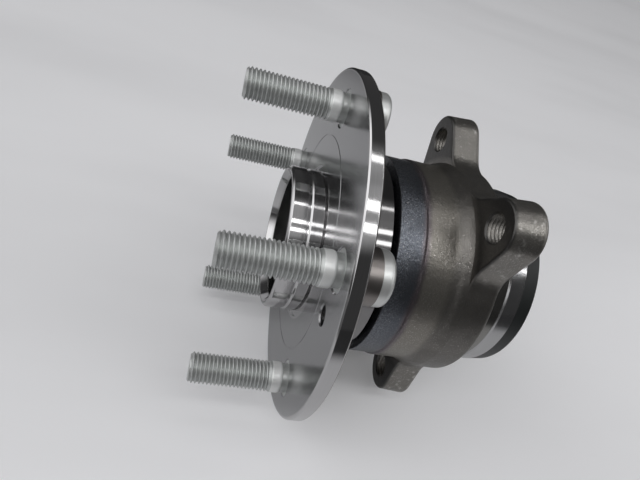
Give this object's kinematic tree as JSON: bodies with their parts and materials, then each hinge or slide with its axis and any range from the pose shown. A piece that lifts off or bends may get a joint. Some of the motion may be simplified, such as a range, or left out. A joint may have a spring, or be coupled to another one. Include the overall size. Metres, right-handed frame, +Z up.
{
  "type": "wheel hub bearing",
  "caption": "Driven wheel hub bearing unit: a studded flanged hub with a splined bore turning in a sealed outer ring that bolts to the knuckle by threaded ears.",
  "frame": {"origin": "centre of the hub face that the brake disc and the wheel bolt against", "axes": "+Y along the spin axis towards the knuckle and the drive shaft, wheel studs along -Y, +Z up as pictured, with the fixed ring's four ears symmetric about Z = 0"},
  "size_m": [0.1438, 0.126, 0.1438],
  "materials": {
    "hub_steel": "fine-turned bright steel",
    "stud_steel": "zinc-plated steel",
    "forged_steel": "forged and heat-darkened steel with machined faces",
    "race_steel": "ground and polished bearing steel",
    "cage_polymer": "glass-filled polyamide",
    "seal_steel": "pressed steel sheet",
    "seal_rubber": "moulded nitrile",
    "encoder_rubber": "magnet-filled nitrile",
    "black_steel": "semi-gloss black coat on pressed steel"
  },
  "bodies": {
    "fixed_ring": {"outer_ring": "forged_steel", "outboard_seal_case": "seal_steel", "outboard_seal_lip": "seal_rubber", "inboard_seal_case": "seal_steel", "inboard_seal_lip": "seal_rubber", "rear_cover_ring": "black_steel"},
    "hub": {"hub_spindle": "hub_steel", "inner_ring": "race_steel", "seal_slinger": "seal_steel", "encoder_ring": "encoder_rubber", "wheel_stud_1": "stud_steel", "wheel_stud_2": "stud_steel", "wheel_stud_3": "stud_steel", "wheel_stud_4": "stud_steel", "wheel_stud_5": "stud_steel"},
    "outboard_ball_row": {"outboard_cage": "cage_polymer", "outboard_ball_01": "race_steel", "outboard_ball_02": "race_steel", "outboard_ball_03": "race_steel", "outboard_ball_04": "race_steel", "outboard_ball_05": "race_steel", "outboard_ball_06": "race_steel", "outboard_ball_07": "race_steel", "outboard_ball_08": "race_steel", "outboard_ball_09": "race_steel", "outboard_ball_10": "race_steel", "outboard_ball_11": "race_steel", "outboard_ball_12": "race_steel", "outboard_ball_13": "race_steel"},
    "inboard_ball_row": {"inboard_cage": "cage_polymer", "inboard_ball_01": "race_steel", "inboard_ball_02": "race_steel", "inboard_ball_03": "race_steel", "inboard_ball_04": "race_steel", "inboard_ball_05": "race_steel", "inboard_ball_06": "race_steel", "inboard_ball_07": "race_steel", "inboard_ball_08": "race_steel", "inboard_ball_09": "race_steel", "inboard_ball_10": "race_steel", "inboard_ball_11": "race_steel", "inboard_ball_12": "race_steel", "inboard_ball_13": "race_steel"}
  },
  "joints": [
    {"name": "hub_spin", "type": "hinge", "parent": "fixed_ring", "child": "hub", "pos_m": [0, 0, 0], "axis": [0, -1, 0], "continuous": true},
    {"name": "outboard_row_spin", "type": "hinge", "parent": "fixed_ring", "child": "outboard_ball_row", "pos_m": [0, 0.038, 0], "axis": [0, -1, 0], "continuous": true},
    {"name": "inboard_row_spin", "type": "hinge", "parent": "fixed_ring", "child": "inboard_ball_row", "pos_m": [0, 0.067, 0], "axis": [0, -1, 0], "continuous": true}
  ],
  "couplings": [
    {"joint": "outboard_row_spin", "follows": "hub_spin", "ratio": 0.419},
    {"joint": "inboard_row_spin", "follows": "hub_spin", "ratio": 0.419}
  ]
}
